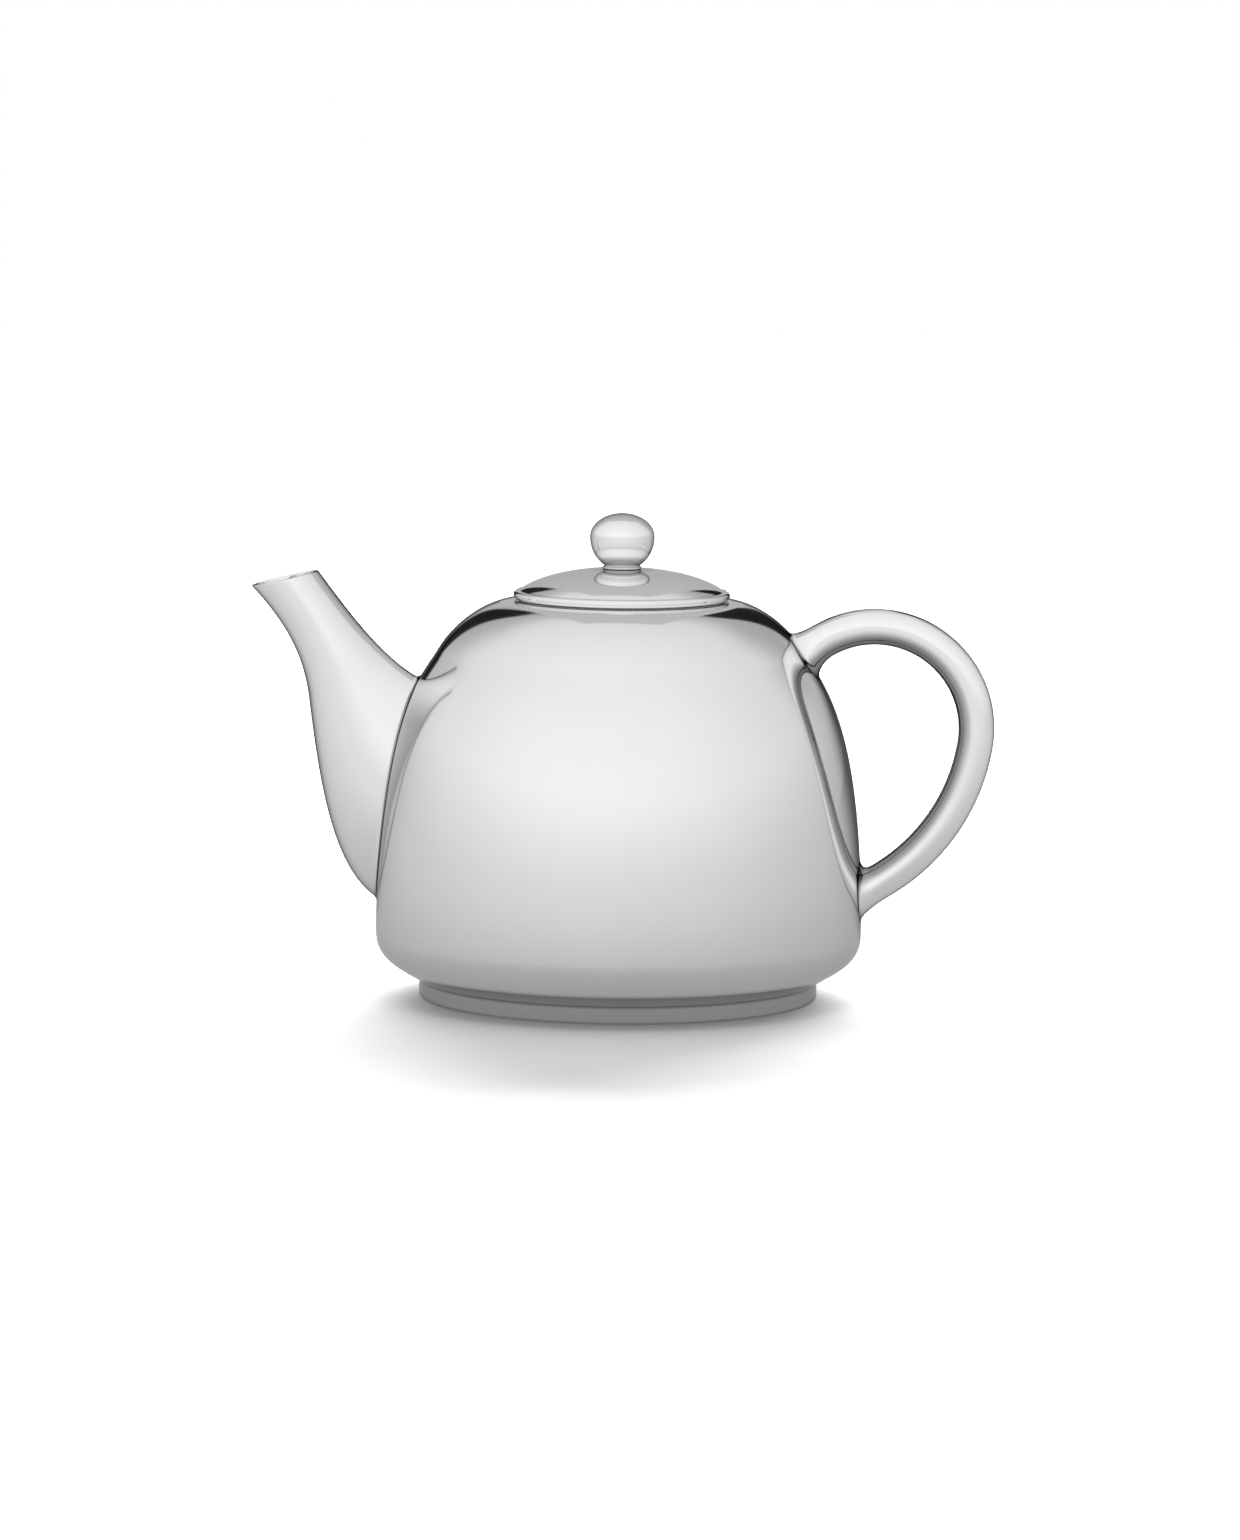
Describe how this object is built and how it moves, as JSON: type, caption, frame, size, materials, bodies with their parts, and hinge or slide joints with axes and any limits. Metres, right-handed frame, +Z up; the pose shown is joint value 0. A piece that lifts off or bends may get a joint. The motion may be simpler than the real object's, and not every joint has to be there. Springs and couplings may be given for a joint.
{
  "type": "silver teapot",
  "caption": "Polished silver teapot with a tall rounded body on a foot ring, a swept hollow spout, a hollow loop handle and a lift-off domed lid with a turned egg knob.",
  "frame": {"origin": "centre of the foot ring, on the surface that the pot stands on, on the pot's own axis", "axes": "+Z up along the pot's axis, spout towards -X, handle towards +X, front of the pot towards -Y"},
  "size_m": [0.2405, 0.1568, 0.1563],
  "materials": {
    "silver_polished": "mirror polished silver",
    "silver_inside": "plain bright silver, not buffed",
    "screw_metal": "plated steel"
  },
  "bodies": {
    "pot": {"body_shell": "silver_polished", "base_pan": "silver_inside", "foot_ring": "silver_polished", "mouth_collar": "silver_inside", "spout": "silver_polished", "handle": "silver_polished"},
    "lid": {"lid_dome": "silver_polished", "lid_flange": "silver_inside", "knob": "silver_polished", "knob_screw": "screw_metal", "knob_washer": "screw_metal"}
  },
  "joints": [
    {"name": "lid_lift", "type": "slide", "parent": "pot", "child": "lid", "axis": [0, 0, 1], "range_m": [0, 0.06]}
  ]
}
